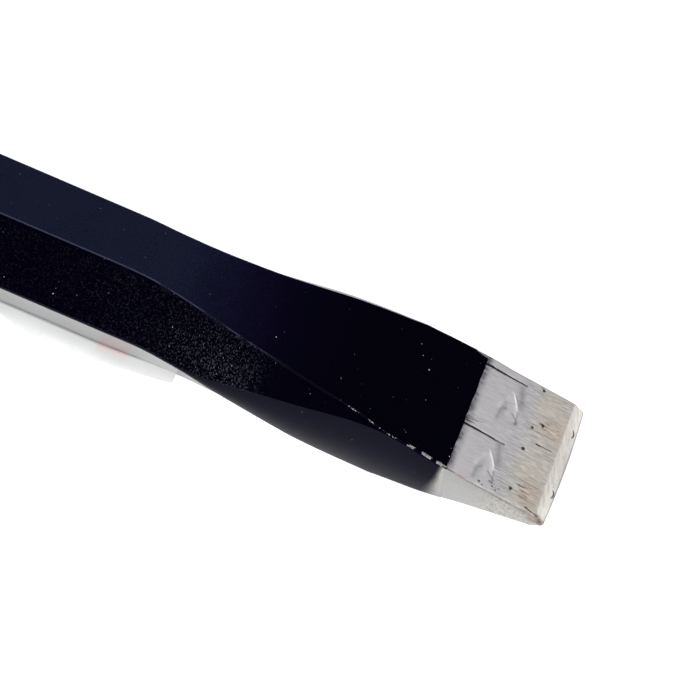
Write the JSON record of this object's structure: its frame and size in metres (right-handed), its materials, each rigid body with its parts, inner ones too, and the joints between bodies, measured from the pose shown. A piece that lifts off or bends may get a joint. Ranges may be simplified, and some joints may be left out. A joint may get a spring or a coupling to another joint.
{
  "type": "cold chisel",
  "caption": "Hexagonal cold chisel with a forged flat blade, a bare ground cutting bevel and struck end, black lacquer between them and a paper label on its underside.",
  "frame": {"origin": "middle of the base: halfway between the struck end and the cutting edge, on the centre line, at the level of the lowest point", "axes": "+X along the bar towards the cutting edge, +Z out of the upper wide flat, cutting edge parallel to Y"},
  "size_m": [0.254, 0.0262, 0.0195],
  "materials": {
    "ground_steel": "forged tool steel, ground bare at the tip and turned bare at the struck end",
    "black_lacquer": "thin blue-black lacquer, satin on the shank and smoother on the blade",
    "label_paper": "matt white adhesive label, blank apart from one plain red band"
  },
  "bodies": {
    "root": {"steel_bar": "ground_steel", "lacquer_coat": "black_lacquer", "underside_label": "label_paper"}
  },
  "joints": []
}
